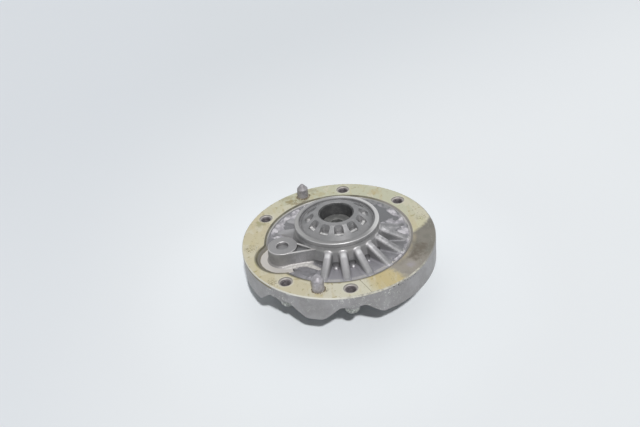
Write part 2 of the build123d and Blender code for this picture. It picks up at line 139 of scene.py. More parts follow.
class Recipe:
    """The node tree of one finish, with a short call for each step."""

    def __init__(self, name):
        self.material = bpy.data.materials.new(name)
        self.material.use_nodes = True
        self.tree = self.material.node_tree
        self.shader = self.tree.nodes["Principled BSDF"]
        self.place = self.add("ShaderNodeTexCoord").outputs["Object"]
        self.x, self.y, self.z = self.add("ShaderNodeSeparateXYZ", {0: self.place}).outputs
        facing = self.add("ShaderNodeNewGeometry").outputs["Normal"]
        self.up = self.add("ShaderNodeSeparateXYZ", {0: facing}).outputs[2]

    def add(self, kind, inputs=None, **settings):
        return new_node(self.tree, kind, inputs, settings)

    def math(self, operation, *values):
        return self.add("ShaderNodeMath", dict(enumerate(values)), operation=operation).outputs[0]

    def step(self, value, low, high, start=0.0, end=1.0):
        """Smooth change from start to end while the value goes from low to high."""
        inputs = {"Value": value, "From Min": low, "From Max": high, "To Min": start, "To Max": end}
        return self.add("ShaderNodeMapRange", inputs, interpolation_type="SMOOTHSTEP").outputs[0]

    def band(self, value, low, high, soft):
        """1 between low and high, with soft ends."""
        rise = self.step(value, low - soft, low + soft)
        fall = self.step(value, high - soft, high + soft, 1.0, 0.0)
        return self.math("MULTIPLY", rise, fall)

    def noise(self, size_mm, detail=3.0, roughness=0.55, warp=0.0, stretch=None):
        """Noise from 0 to 1 whose blotches are about size_mm across."""
        place = self.place
        if stretch:
            place = self.add("ShaderNodeMapping", {0: place, 3: stretch}).outputs[0]
        inputs = {"Vector": place, "Scale": 1 / (size_mm * MM), "Detail": detail, "Roughness": roughness,
                  "Distortion": warp}
        return self.add("ShaderNodeTexNoise", inputs).outputs["Fac"]

    def cells(self, size_mm):
        """Node of uneven cells about size_mm across."""
        return self.add("ShaderNodeTexVoronoi", {"Vector": self.place, "Scale": 1 / (size_mm * MM)})

    def openness(self, reach_mm):
        """1 in the open, and less in corners within reach_mm."""
        node = self.add("ShaderNodeAmbientOcclusion", {"Distance": reach_mm * MM}, samples=8)
        return node.outputs["AO"]

    def mottled(self, share, low, high, dark, light):
        """Two screen tones in blotches, with the share's values from low to high between them."""
        return self.mix(self.step(share, low, high), screen(*dark), screen(*light))

    def mix(self, factor, a, b):
        """Colour between a and b."""
        return self.add("ShaderNodeMix", {0: factor, 6: a, 7: b}, data_type="RGBA").outputs[2]

    def grey(self, factor, a, b):
        """Plain number between a and b."""
        return self.add("ShaderNodeMix", {0: factor, 2: a, 3: b}, data_type="FLOAT").outputs[0]

    def bump(self, height, depth_mm, strength=1.0, after=None):
        """Bump of depth_mm, laid over the one that comes before it."""
        inputs = {"Height": height, "Distance": depth_mm * MM, "Strength": strength}
        if after:
            inputs["Normal"] = after
        return self.add("ShaderNodeBump", inputs).outputs[0]

    def finish(self, **sockets):
        """Sets the shader's sockets; a name's underscores stand for spaces."""
        for name, value in sockets.items():
            feed(self.tree, self.shader.inputs[name.replace("_", " ")], value)
        return self.material


print("a screen's middle grey is", round(screen(128, 128, 128)[0], 3), "as a linear value")

# %% [markdown]
# ## Light and floor
#
# The photograph was lit by a flash above and a little right of the lens, in a white tent that is
# dark only where the photographer stands. The flash throws a thin crisp band of shadow below the
# lobes of the skirt, which also shows that the bracket stands clear of the floor. Here a sun
# stands for the flash. The world is bright behind and at both sides and dim in front, so faces
# that look up shine and the shadow is paler at its two ends, as in the photograph.

# %% Lamps, world and floor
FLASH_DOWN = radians(50.0)
FLASH_SIDE = radians(8.0)
FLASH_POWER = 2.45
FLASH_SPREAD = radians(3.0)
GLOW_BEHIND = 0.42
GLOW_AT_SIDES = 0.30
GLOW_ABOVE = 0.08
GLOW_LEAST = 0.07
GLOSS_GAIN = 0.45
TENT_WHITE = (0.97, 0.99, 1.0, 1.0)
PALE = screen(228, 232, 235)
FLOOR_HALF = 6000 * MM
FLOOR_GAP = 0.2 * MM

flash_data = bpy.data.lights.new("flash", "SUN")
flash_data.energy = FLASH_POWER
flash_data.angle = FLASH_SPREAD
flash = bpy.data.objects.new("flash", flash_data)
bpy.context.scene.collection.objects.link(flash)
flash.rotation_euler = (pi / 2 - FLASH_DOWN, 0.0, FLASH_SIDE)

world = bpy.data.worlds.new("room")
bpy.context.scene.world = world
world.use_nodes = True


def world_node(kind, inputs=None, **settings):
    return new_node(world.node_tree, kind, inputs, settings)


def world_math(operation, *values):
    return world_node("ShaderNodeMath", dict(enumerate(values)), operation=operation).outputs[0]


def ramp(value, low, high, end):
    """Smooth rise from 0 to end while a part of the direction goes from low to high."""
    inputs = {"Value": value, "From Min": low, "From Max": high, "To Max": end}
    return world_node("ShaderNodeMapRange", inputs, interpolation_type="SMOOTHSTEP").outputs[0]


looking = world_node("ShaderNodeTexCoord").outputs["Generated"]
side, ahead, upward = world_node("ShaderNodeSeparateXYZ", {0: looking}).outputs
glow = ramp(ahead, -0.35, 0.7, GLOW_BEHIND)
glow = world_math("ADD", glow, ramp(world_math("ABSOLUTE", side), 0.3, 1.0, GLOW_AT_SIDES))
glow = world_math("ADD", glow, ramp(upward, 0.3, 1.0, GLOW_ABOVE))
glow = world_math("ADD", glow, GLOW_LEAST)
path = world_node("ShaderNodeLightPath")
gloss_gain = world_math("MULTIPLY_ADD", path.outputs["Is Glossy Ray"], GLOSS_GAIN, 1.0)
glow = world_math("MULTIPLY", glow, gloss_gain)
room = world.node_tree.nodes["Background"]
room.inputs["Color"].default_value = TENT_WHITE
world.node_tree.links.new(glow, room.inputs["Strength"])
seen = world_node("ShaderNodeBackground", {"Color": PALE})
choices = {0: path.outputs["Is Camera Ray"], 1: room.outputs[0], 2: seen.outputs[0]}
choose = world_node("ShaderNodeMixShader", choices)
world.node_tree.links.new(choose.outputs[0], world.node_tree.nodes["World Output"].inputs["Surface"])

bm = bmesh.new()
bmesh.ops.create_grid(bm, x_segments=1, y_segments=1, size=FLOOR_HALF)
bmesh.ops.translate(bm, vec=(0, 0, cad_box[0][2] - FLOOR_GAP), verts=bm.verts)
floor_mesh = bpy.data.meshes.new("floor")
bm.to_mesh(floor_mesh)
bm.free()
floor = bpy.data.objects.new("floor", floor_mesh)
bpy.context.scene.collection.objects.link(floor)
sheet = Recipe("pale_sheet")
# Painted light on the floor: darker far off and on the left, lighter near the bracket to lift its shadow.
floor_tone = sheet.mix(sheet.noise(300, 2.0), screen(235, 238, 241), screen(238, 241, 243))
far_side = sheet.math("MULTIPLY_ADD", sheet.x, -0.6, sheet.y)
floor_tone = sheet.mix(sheet.step(far_side, 0.05, 0.75), floor_tone, screen(221, 225, 229))
painted_dim_left = sheet.step(sheet.x, -0.34, -0.12, 0.6, 0.0)
floor_tone = sheet.mix(painted_dim_left, floor_tone, screen(222, 226, 231))
off_centre = sheet.add("ShaderNodeVectorMath", {0: sheet.place}, operation="LENGTH").outputs["Value"]
painted_light_near_bracket = sheet.step(off_centre, 0.10, 0.24, 1.0, 0.0)
floor_tone = sheet.mix(painted_light_near_bracket, floor_tone, screen(244, 248, 251))
floor_mesh.materials.append(sheet.finish(Base_Color=floor_tone, Roughness=0.9, Specular_IOR_Level=0.1))

bpy.context.scene.view_settings.view_transform = "Standard"
print("lamps, world and floor are in")

# %% [markdown]
# ## The casting's finish
#
# One casting shows at least six skins: the machined flange with a yellowed coating that is worn
# to dirty metal on the right, the bright thin edge round it, the rough skirt, the pocket with
# shiny lumps, the smoother hub, and painted shade in every corner. Several masks also lay painted
# highlights and shade into the colour. All this could be painted on an image, but the mesh would
# have to be unwrapped for it. A mask for each place comes from height, radius and angle about the
# hub instead, with its border broken up by noise.

# %% Noises and helpers for the casting's masks
cast = Recipe("cast_aluminium")
bearing = cast.math("ARCTAN2", cast.y, cast.x)
blotch = cast.noise(14, 3.0)
small_blotch = cast.noise(4.5, 4.0, 0.6)
grit = cast.noise(1.3, 4.0, 0.65)
fine = cast.noise(0.5, 3.0, 0.6)
ragged = cast.noise(5.0, 5.0, 0.7, 0.6)


def away_from(x, y):
    """Distance in millimetres from an upright line at x, y."""
    dx = cast.math("MULTIPLY_ADD", cast.x, 1 / MM, -x)
    dy = cast.math("MULTIPLY_ADD", cast.y, 1 / MM, -y)
    return cast.math("POWER", cast.math("MULTIPLY_ADD", dx, dx, cast.math("MULTIPLY", dy, dy)), 0.5)


def toward(angle, half_width, soft):
    """1 within half_width degrees of an angle about the hub, fading out over soft degrees."""
    turned = cast.math("SUBTRACT", bearing, radians(angle))
    off = cast.math("ARCCOSINE", cast.math("COSINE", turned))
    return cast.step(off, radians(half_width), radians(half_width + soft), 1.0, 0.0)


def roughened(mask, share, amount):
    """The mask with its border broken by a noise."""
    moved = cast.math("MULTIPLY_ADD", cast.math("SUBTRACT", share, 0.5), amount, mask)
    return cast.step(moved, 0.35, 0.65)


def both(*masks):
    """Product of the masks: 1 where every one of them is 1."""
    result = masks[0]
    for mask in masks[1:]:
        result = cast.math("MULTIPLY", result, mask)
    return result


def paint(under, tone, mask, strength=None):
    """Lays a screen tone over what is under it, where the mask is 1."""
    if strength is not None:
        mask = cast.math("MULTIPLY", mask, strength)
    return cast.mix(mask, under, screen(*tone))


def centre_of(node_name):
    """Where a node's box has its middle, as x and y in millimetres."""
    low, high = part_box(node_name)
    return (low[0] + high[0]) / 2 / MM, (low[1] + high[1]) / 2 / MM


def patch(x, y, size, strength=1.0, amount=1.2):
    """Ragged patch of about size millimetres in radius round x, y."""
    near = cast.step(away_from(x, y), 0.0, size * 2.0, 1.0, 0.0)
    broken = cast.math("MULTIPLY_ADD", small_blotch, 0.6, cast.math("MULTIPLY", ragged, 0.4))
    moved = cast.math("MULTIPLY_ADD", cast.math("SUBTRACT", broken, 0.5), 3.5 * amount, near)
    return cast.step(moved, 0.2, 1.1, 0.0, strength)


def so_far(what):
    """Says how far the casting's tree has grown."""
    print(what, "done,", len(cast.tree.nodes), "nodes so far")


so_far("noises")

# %% Masks of places on the casting
FLANGE_INNER = 71.3
FLANGE_OUTER = 95.0
HUB_R = 41.3
BULGE_R = 25.6
MOUNTS = {mount["name"]: mount["pos_m"] for mount in frame["record"]["mounts"]}
EAR_X, EAR_Y = MOUNTS["ear_hole"][0] / MM, MOUNTS["ear_hole"][1] / MM
INSERTS = [f"threaded_insert_{number}" for number in range(1, 6)]

radius = away_from(0.0, 0.0)
from_ear = away_from(EAR_X, EAR_Y)
height = cast.math("MULTIPLY", cast.z, 1 / MM)
outside_circle = cast.math("SUBTRACT", radius, FLANGE_INNER)
outside_bulge = cast.math("SUBTRACT", from_ear, BULGE_R)
from_pocket = cast.math("MINIMUM", outside_circle, outside_bulge)

flat = cast.step(cast.up, 0.90, 0.98)
on_flange = cast.step(radius, 60, 62)
flange_top = both(cast.band(height, -0.25, 0.3, 0.05), flat, on_flange)
outer_rim = cast.step(radius, FLANGE_OUTER - 1.9, FLANGE_OUTER - 1.2)
flange_edge = both(cast.band(height, -1.5, -0.02, 0.15), outer_rim)
so_far("masks of places")

# %% [markdown]
# The coating was brushed or sprayed on and has aged. It is cream, in patches with fairly straight
# borders, warmer on the left and greener behind, with streaks across the ring, dark specks in
# clusters, a brown stain beside the rear pin that on the pin's left is partly its painted shadow,
# and an orange stretch at the front right. One noise would look even all over, so each tone is
# laid over the last with its own mask, the way a painter glazes.

# %% The coating on the flange
streak = cast.noise(9, 3.0, 0.6, 0.4, stretch=(1.0, 0.22, 1.0))
patch_tone = cast.add("ShaderNodeSeparateColor", {0: cast.cells(19).outputs["Color"]}).outputs[0]
cream = cast.mix(toward(180, 50, 50), screen(206, 200, 176), screen(202, 193, 164))
cream = paint(cream, (196, 196, 172), toward(75, 45, 35))
cream = paint(cream, (210, 205, 184), cast.step(patch_tone, 0.35, 0.75, 0.0, 0.65))
cream = paint(cream, (202, 199, 164), cast.step(patch_tone, 0.12, 0.02, 0.0, 0.5))
cream = paint(cream, (214, 211, 196), toward(272, 10, 12), 0.6)
cream = paint(cream, (198, 186, 146), cast.step(streak, 0.52, 0.66, 0.0, 0.45))
cream = paint(cream, (212, 206, 190), cast.step(small_blotch, 0.56, 0.72, 0.0, 0.5))
orange = both(toward(297, 7, 7), cast.step(streak, 0.30, 0.55))
cream = paint(cream, (198, 180, 128), orange, 0.8)
# Beside the rear pin the brown stains are partly dirt and, on the pin's left, its painted shadow.
# Stains as (x, y, size, tone, strength) and clusters of specks as (x, y, size), in millimetres.
STAINS = (
    (-44.4, 69.1, 5.5, (150, 136, 98), 0.8),
    (-37.3, 62.5, 3.5, (128, 112, 78), 0.75),
    (-30.5, 68.0, 5.0, (118, 104, 82), 0.8),
    (-49.0, 76.0, 6.0, (160, 150, 118), 0.6),
    (-22.0, 86.0, 6.0, (156, 150, 124), 0.55),
    (-76.1, 34.4, 6.5, (158, 154, 118), 0.7),
    (43.7, 70.7, 5.5, (188, 172, 130), 0.7),
    (-13.0, 78.0, 6.0, (184, 172, 132), 0.55),
    (-22.5, -83.5, 5.0, (190, 178, 128), 0.6),
    (-78.0, -32.0, 6.0, (190, 184, 128), 0.6),
)
SPECKLED = (
    (-85.9, -6.7, 8.0),
    (-66.0, -61.0, 6.5),
    (84.0, 16.0, 7.0),
    (-18.3, -80.5, 5.0),
    (-40.0, 66.0, 8.0),
)
for x, y, size, tone, strength in STAINS:
    cream = paint(cream, tone, patch(x, y, size, strength))
speckle = cast.step(cast.noise(1.5, 3.0, 0.75), 0.67, 0.71, 0.0, 0.55)
dense = cast.step(cast.noise(1.4, 3.0, 0.75), 0.53, 0.57)
for x, y, size in SPECKLED:
    near = cast.step(away_from(x, y), size * 0.5, size, 0.75, 0.0)
    speckle = cast.math("MAXIMUM", speckle, both(near, dense))
cream = paint(cream, (126, 118, 82), speckle)
past_scratch = cast.math("MULTIPLY_ADD", cast.x, 0.902, cast.math("MULTIPLY", cast.y, 0.431))
scratch = both(cast.band(past_scratch, -18.95 * MM, -18.45 * MM, 0.15 * MM), toward(283, 3, 1))
cream = paint(cream, (120, 112, 84), scratch, 0.8)
so_far("cream coating")

# %% [markdown]
# On the right the coating is worn to a brown-grey film between two clear borders, with darker
# spots in it, a paler strip beside the pocket and scrapes near the rim. The borders are limits of
# the angle about the hub, made ragged by noise. The upper one is skewed with the radius as well,
# because it runs slantwise across the ring.

# %% The worn stretch of the coating
wobble = cast.math("MULTIPLY", cast.math("SUBTRACT", ragged, 0.5), 0.16)
skewed = cast.math("MULTIPLY_ADD", cast.math("SUBTRACT", radius, 73.0), radians(-0.71), bearing)
upper_end = cast.step(cast.math("ADD", skewed, wobble), radians(-9), radians(-4), 1.0, 0.0)
lower_end = cast.step(cast.math("ADD", bearing, wobble), radians(-57), radians(-51))
worn = both(upper_end, lower_end)
film = cast.mix(toward(315, 10, 9), screen(127, 124, 115), screen(156, 150, 141))
film = paint(film, (140, 135, 126), cast.step(blotch, 0.42, 0.60, 0.0, 0.55))
film = paint(film, (102, 94, 82), patch(68.6, -44.9, 7.0, 0.8, 0.8))
film = paint(film, (106, 98, 86), patch(75.5, -34.0, 8.0, 0.8, 0.8))
film = paint(film, (166, 160, 166), patch(62.8, -57.7, 4.5, 0.7, 0.6))
near_pocket = cast.step(radius, 73.5, 78.0, 1.0, 0.0)
inner_film = both(near_pocket, toward(333, 14, 8), cast.step(streak, 0.2, 0.7))
film = paint(film, (170, 160, 138), inner_film)
scrape = cast.step(cast.noise(1.6, 4.0, 0.7, 0.3, stretch=(1.0, 0.3, 1.0)), 0.60, 0.66)
film = paint(film, (176, 176, 170), both(scrape, cast.step(radius, 86, 90)), 0.75)
coating = cast.mix(worn, cream, film)
so_far("worn stretch")

# %% [markdown]
# A dark olive ring runs along the pocket's edge, wider in front. It is partly the coating's dark
# edge and partly painted shade where the flange rounds over into the pocket. The coating is rubbed
# pale round each bolt hole. Both masks are distances, from the pocket's outline and from the
# nearest hole. Taking the least of the five distances lets one mask serve all the holes.

# %% Rings round the pocket and the holes
# Olive ring: the coating's edge and painted shade of the rounded lip, wider in front.
olive_ring_and_shade = cast.step(from_pocket, 0.2, 2.2, 0.85, 0.0)
front_olive_and_shade = both(cast.step(from_pocket, 1.9, 3.6, 0.9, 0.0), toward(245, 52, 16))
coating = paint(coating, (130, 125, 103), cast.math("MAXIMUM", olive_ring_and_shade, front_olive_and_shade))
from_hole = away_from(*centre_of(INSERTS[0]))
for node_name in INSERTS[1:]:
    from_hole = cast.math("MINIMUM", from_hole, away_from(*centre_of(node_name)))
hole_ring = cast.band(from_hole, 6.9, 8.3, 0.4)
coating = paint(coating, (214, 211, 198), both(hole_ring, cast.step(blotch, 0.35, 0.65, 0.1, 0.75)))
so_far("rings")

# %% [markdown]
# The bare skin is grey and mottled. The skirt is a little lighter and scuffed, most of all beside
# its front notches. Blotches of two sizes are laid over each other, because a cast skin changes
# over centimetres and over millimetres, and one size alone looks like a printed pattern.

# %% The bare skin and the skirt
bare = cast.mottled(blotch, 0.35, 0.65, (146, 146, 147), (160, 159, 160))
bare = paint(bare, (174, 173, 175), cast.step(small_blotch, 0.5, 0.72, 0.0, 0.4))

skirt = both(cast.step(height, -1.6, -1.0, 1.0, 0.0), cast.step(radius, 87.5, 88.5))
skirt_tone = cast.mottled(blotch, 0.4, 0.65, (150, 148, 148), (161, 159, 160))
skirt_tone = paint(skirt_tone, (168, 167, 166), cast.step(small_blotch, 0.5, 0.62, 0.0, 0.3))
scuff = cast.step(cast.noise(3.0, 5.0, 0.75, 1.5, stretch=(1.0, 1.0, 0.6)), 0.57, 0.63)
near_notch = cast.math("MAXIMUM", toward(231, 8, 6), toward(293, 4, 6))
near_notch = cast.math("MAXIMUM", toward(275, 9, 6), near_notch)
skirt_tone = paint(skirt_tone, (206, 206, 202), both(scuff, cast.grey(near_notch, 0.25, 1.0)))
bare = cast.mix(skirt, bare, skirt_tone)
so_far("bare skin and skirt")

# %% [markdown]
# The pocket's floor is darker, and paler again in front. The trough round the ear is pale, and the
# wall round it is olive, partly old coating and partly painted shade. A dark olive line runs all
# round the pocket's lip, partly that coating and partly painted shade on the rounded edge. Below it
# runs a bright line, partly bare metal and partly a painted highlight on the fillet, and the wall
# on the right carries a painted highlight. The pocket's outline is a circle with the ear's round
# bulge added, and the smaller of a spot's distances outside the two says how far it is from the
# lip, without an outline being drawn.

# %% The pocket's floor, walls and lip
pocket_deep = both(cast.band(height, -6.0, -1.3, 0.4), cast.band(radius, 42, 86, 1.0),
                   cast.step(from_pocket, -0.6, 0.6, 1.0, 0.0))
bare = paint(bare, (134, 133, 137), pocket_deep, 0.6)

# The trough round the ear is given a paler tone.
trough = both(cast.band(height, -3.6, -2.4, 0.3), toward(204, 18, 6))
trough = both(trough, cast.band(from_ear, 14.5, 24.6, 0.8), flat)
pale_trough = roughened(trough, small_blotch, 0.5)
bare = paint(bare, (212, 207, 201), pale_trough, 0.9)
at_bulge = toward(203, 18, 8)
# Olive on the wall round the trough: old coating and painted shade.
olive_wall_and_shade = both(cast.band(height, -3.6, -0.1, 0.1), cast.step(from_pocket, -5.2, -0.8), at_bulge)
bare = paint(bare, (132, 124, 102), roughened(olive_wall_and_shade, small_blotch, 0.5))

# Olive lip line: the coating's edge and painted shade on the rounded edge.
lip = both(cast.band(height, -1.05, -0.1, 0.08), cast.band(from_pocket, -0.3, 2.2, 0.2))
lip_tone_and_shade = cast.mottled(blotch, 0.4, 0.6, (108, 104, 86), (130, 125, 103))
lip_tone_and_shade = paint(lip_tone_and_shade, (128, 122, 112), worn)
lip_tone_and_shade = paint(lip_tone_and_shade, (158, 152, 145), toward(345, 55, 18))
bare = cast.mix(cast.math("MULTIPLY", lip, 0.92), bare, lip_tone_and_shade)
# Bright line below the lip: bare metal and a painted highlight on the fillet.
rim_line_and_highlight = both(cast.band(height, -1.9, -1.2, 0.15), cast.band(from_pocket, -1.4, 0.1, 0.1))
rim_line_and_highlight = both(rim_line_and_highlight, cast.math("SUBTRACT", 1.0, at_bulge))
bare = paint(bare, (198, 195, 190), rim_line_and_highlight, 0.8)
# Painted highlight on the pocket's wall on the right.
wall_highlight = both(cast.band(height, -3.2, -1.0, 0.1), cast.band(radius, 67.6, 71.0, 0.3))
wall_highlight = both(wall_highlight, toward(0, 52, 14))
bare = paint(bare, (206, 203, 202), both(wall_highlight, cast.step(small_blotch, 0.3, 0.6)))
front_floor = both(pocket_deep, toward(283, 45, 15))
bare = paint(bare, (180, 178, 184), front_floor, 0.7)
smooth_floor = both(pocket_deep, toward(42, 16, 10))
bare = paint(bare, (122, 124, 126), smooth_floor, 0.6)
so_far("pocket")

# %% [markdown]
# The crests of the ribs and of the swells between them carry painted highlights, the ribs most of
# all at their heads, and so do the ear's edge, the top of its web and two pips; the ear's top is a
# little paler. The right-hand ribs are rough and darker, the flared foot of the ear's web is plain
# grey, a paler strip lies along the wall in front and the hub's foot there is painted in shade. A
# mask for what faces up would take in the floor too, so a crest is found by how high a spot lies
# above the line along which the crests fall.

# %% Ribs, ear, web and pips
RIB_FALL = 0.4706
SWELL_FALL = 0.2586
PIP_CIRCLE_R = 49.0
BRIGHT_PIPS = (263.0, 282.0)
past_hub = cast.math("SUBTRACT", radius, HUB_R)
rib_line = cast.math("MULTIPLY_ADD", past_hub, RIB_FALL, height)
swell_line = cast.math("MULTIPLY_ADD", past_hub, SWELL_FALL, height)
clear_of_ear = cast.step(from_ear, 34.0, 40.0)
ribs_here = both(cast.step(cast.up, 0.2, 0.75), cast.band(radius, 42.0, 67.5, 0.8), clear_of_ear)
crest = both(ribs_here, cast.band(rib_line, 9.9, 12.8, 0.9), toward(301, 55, 4))
swell_crest = both(ribs_here, cast.band(swell_line, 2.4, 4.4, 0.5), cast.step(height, -2.6, -1.6))
# Painted highlights on the crests of the swells.
bare = paint(bare, (196, 194, 197), swell_crest, 0.6)
ear_zone = both(cast.band(height, 10.2, 12.4, 0.1), cast.step(radius, 40.5, 41.5))
bare = paint(bare, (172, 170, 170), both(ear_zone, flat), 0.5)
# Painted highlight on the ear's rounded edge.
ear_edge_highlight = both(ear_zone, cast.step(cast.up, 0.1, 0.4), cast.step(cast.up, 0.94, 0.985, 1.0, 0.0))
bare = paint(bare, (214, 212, 212), ear_edge_highlight, 0.7)
# Painted highlights along the rib crests, brightest at the heads and fading outwards.
crest_fade = cast.step(radius, 46.0, 64.0, 0.95, 0.35)
bare = paint(bare, (192, 190, 192), both(crest, crest_fade, cast.step(blotch, 0.2, 0.6, 0.6, 1.0)))
rib_head_highlight = both(crest, cast.band(radius, 44.0, 48.0, 1.6), cast.band(rib_line, 11.2, 12.8, 0.5))
bare = paint(bare, (236, 235, 236), rib_head_highlight, 0.85)
right_ribs = both(ribs_here, toward(352, 36, 12))
rough_spots = both(right_ribs, cast.step(small_blotch, 0.38, 0.6, 0.15, 0.75))
bare = paint(bare, (136, 136, 138), rough_spots)
foot_flare = both(cast.band(height, -2.95, -0.9, 0.1), cast.band(cast.up, 0.6, 0.8, 0.06))
foot_flare = both(foot_flare, cast.step(from_ear, 36.0, 40.0, 1.0, 0.0))
bare = paint(bare, (156, 153, 151), foot_flare, 0.85)
# A paler strip on the floor along the wall in front.
front_pale_strip = both(cast.band(height, -3.2, -2.7, 0.1), cast.band(radius, 64.8, 68.0, 0.6))
front_pale_strip = both(front_pale_strip, toward(277, 30, 12))
bare = paint(bare, (208, 205, 202), both(front_pale_strip, cast.step(streak, 0.3, 0.6, 0.3, 0.8)))
# Painted highlight on the top of the ear's web.
web_top = both(cast.band(height, 10.9, 11.7, 0.05), flat, cast.step(from_ear, 13.4, 14.4))
web_top = both(web_top, cast.step(radius, 41.0, 42.0))
bare = paint(bare, (226, 224, 223), web_top, 0.9)
foot_shade = both(cast.band(radius, 43.4, 47.0, 0.4), cast.band(height, -2.9, 0.8, 0.3))
foot_shade = both(foot_shade, toward(285, 45, 12))
bare = paint(bare, (92, 91, 93), foot_shade, 0.8)
# Painted highlight on each of the two bright pips.
for angle in BRIGHT_PIPS:
    from_pip = away_from(PIP_CIRCLE_R * cos(radians(angle)), PIP_CIRCLE_R * sin(radians(angle)))
    pip = both(cast.step(from_pip, 2.0, 2.6, 1.0, 0.0), cast.band(height, -2.8, 0.0, 0.2))
    pip = both(pip, cast.step(radius, 46.8, 47.4))
    bare = paint(bare, (206, 204, 206), pip, 0.8)
so_far("ribs, ear, web and pips")

# %% [markdown]
# The hub's rim carries a painted reflection that makes it pale on the right, and it is dull in
# front, where a painted highlight runs along its outer edge. The sills of its windows carry painted
# highlights too, most in front. The hub is a turned form, so a band of height and one of radius are
# enough to pick out each edge, and the angle says where along it the shine is.

# %% The hub's rim and windows
hub_rim = both(cast.step(height, 12.0, 14.0), cast.band(radius, 37.4, 44.0, 0.4))
hub_rim = both(hub_rim, cast.step(cast.up, 0.35, 0.8))
rim_tone = cast.mix(toward(270, 30, 35), screen(178, 177, 176), screen(158, 157, 157))
# Painted reflection makes the rim pale on the right.
rim_tone = paint(rim_tone, (218, 217, 216), toward(25, 50, 25))
# Painted highlight along the rim's outer edge in front.
rim_tone = paint(rim_tone, (246, 245, 245), both(toward(276, 42, 18), cast.step(radius, 40.4, 41.2)))
bare = cast.mix(hub_rim, bare, rim_tone)
window_sill = both(cast.band(height, 19.7, 20.7, 0.2), cast.band(radius, 25.7, 28.4, 0.3))
sill_strength = cast.step(toward(270, 62, 20), 0.0, 1.0, 0.45, 0.95)
# Painted highlights on the window sills.
bare = paint(bare, (240, 239, 238), both(window_sill, sill_strength))
so_far("hub")

# %% [markdown]
# The thin edge of the flange is mottled, brightest at the front left and dark on the right. The
# skirt is chipped below it at the front right, which is dark tone alone, since the chips are too
# shallow to change the outline. The coating then goes over the flange's top.

# %% The flange's edge and the chips below it
edge_tone = cast.mottled(small_blotch, 0.4, 0.6, (206, 203, 188), (160, 156, 142))
edge_tone = paint(edge_tone, (224, 222, 210), toward(222, 40, 14))
edge_tone = paint(edge_tone, (132, 130, 126), toward(350, 22, 10), 0.8)
bare = cast.mix(cast.math("MULTIPLY", flange_edge, 0.85), bare, edge_tone)
chip_share = cast.step(cast.noise(2.2, 3.0, 0.7), 0.54, 0.58)
chips = both(skirt, toward(305, 7, 3), cast.step(height, -5.0, -2.5), chip_share)
bare = paint(bare, (62, 60, 58), chips)
colour = cast.mix(flange_top, bare, coating)
so_far("flange's edge and chips")

# %% [markdown]
# Corners are darkened with painted shade. An ambient occlusion node finds them and its dark is laid
# into the colour, so it stays in the corner whatever the light. The bump is three layers: cast
# grain, pits, and a fine tooth, and it is weaker on the hub, which was blasted smooth.

# %% Painted shade, gloss and grain of the casting
on_roof = both(cast.step(height, 13.0, 14.5), cast.band(radius, 28.0, 37.4, 1.5))
# Painted shade dims the front of the hub's roof.
colour = paint(colour, (112, 112, 112), both(on_roof, toward(275, 35, 30)), 0.3)
# Painted shade in the casting's corners, found by an ambient occlusion node.
corner_shade = cast.step(cast.openness(4), 0.2, 0.7, 0.5, 0.0)
corner_shade = both(corner_shade, cast.math("SUBTRACT", 1.0, window_sill))
colour = paint(colour, (76, 74, 72), corner_shade)
on_hub = both(cast.step(height, 3.0, 8.0), cast.step(radius, 44.0, 46.0, 1.0, 0.0))
pits = cast.step(cast.cells(2.6).outputs["Distance"], 0.0, 0.16)
metal_share = cast.grey(flange_top, 0.6, 0.0)
metal_share = both(metal_share, cast.step(pale_trough, 0.0, 1.0, 1.0, 0.2))
metal_share = both(metal_share, cast.step(flange_edge, 0.0, 1.0, 1.0, 0.0))
gloss = cast.grey(on_hub, 0.46, 0.48)
gloss = cast.grey(on_roof, gloss, 0.62)
gloss = cast.grey(right_ribs, gloss, 0.62)
gloss = cast.grey(foot_shade, gloss, 0.8)
gloss = cast.grey(cast.math("MAXIMUM", flange_top, flange_edge), gloss, 0.66)
calm = cast.grey(on_hub, 1.0, 0.35)
grain = cast.bump(grit, 0.35, calm)
grain = cast.bump(pits, 0.25, both(calm, 0.35), grain)
grain = cast.bump(fine, 0.12, both(calm, 0.4), grain)
casting_finish = cast.finish(Base_Color=colour, Metallic=metal_share, Roughness=gloss, Normal=grain)
so_far("casting's finish")

# %% [markdown]
# ## Steel and rubber
#
# The pins are dull grey steel, scuffed, and the inserts are a little browner. The bush's seat is
# plain steel, its sleeve is darker, and the bump stop's cup is nearly black. One function makes
# all of these, because they differ in tone and gloss alone, and copies of one tree soon drift
# apart. The rubber is matt and dark grey, with paler blotches.

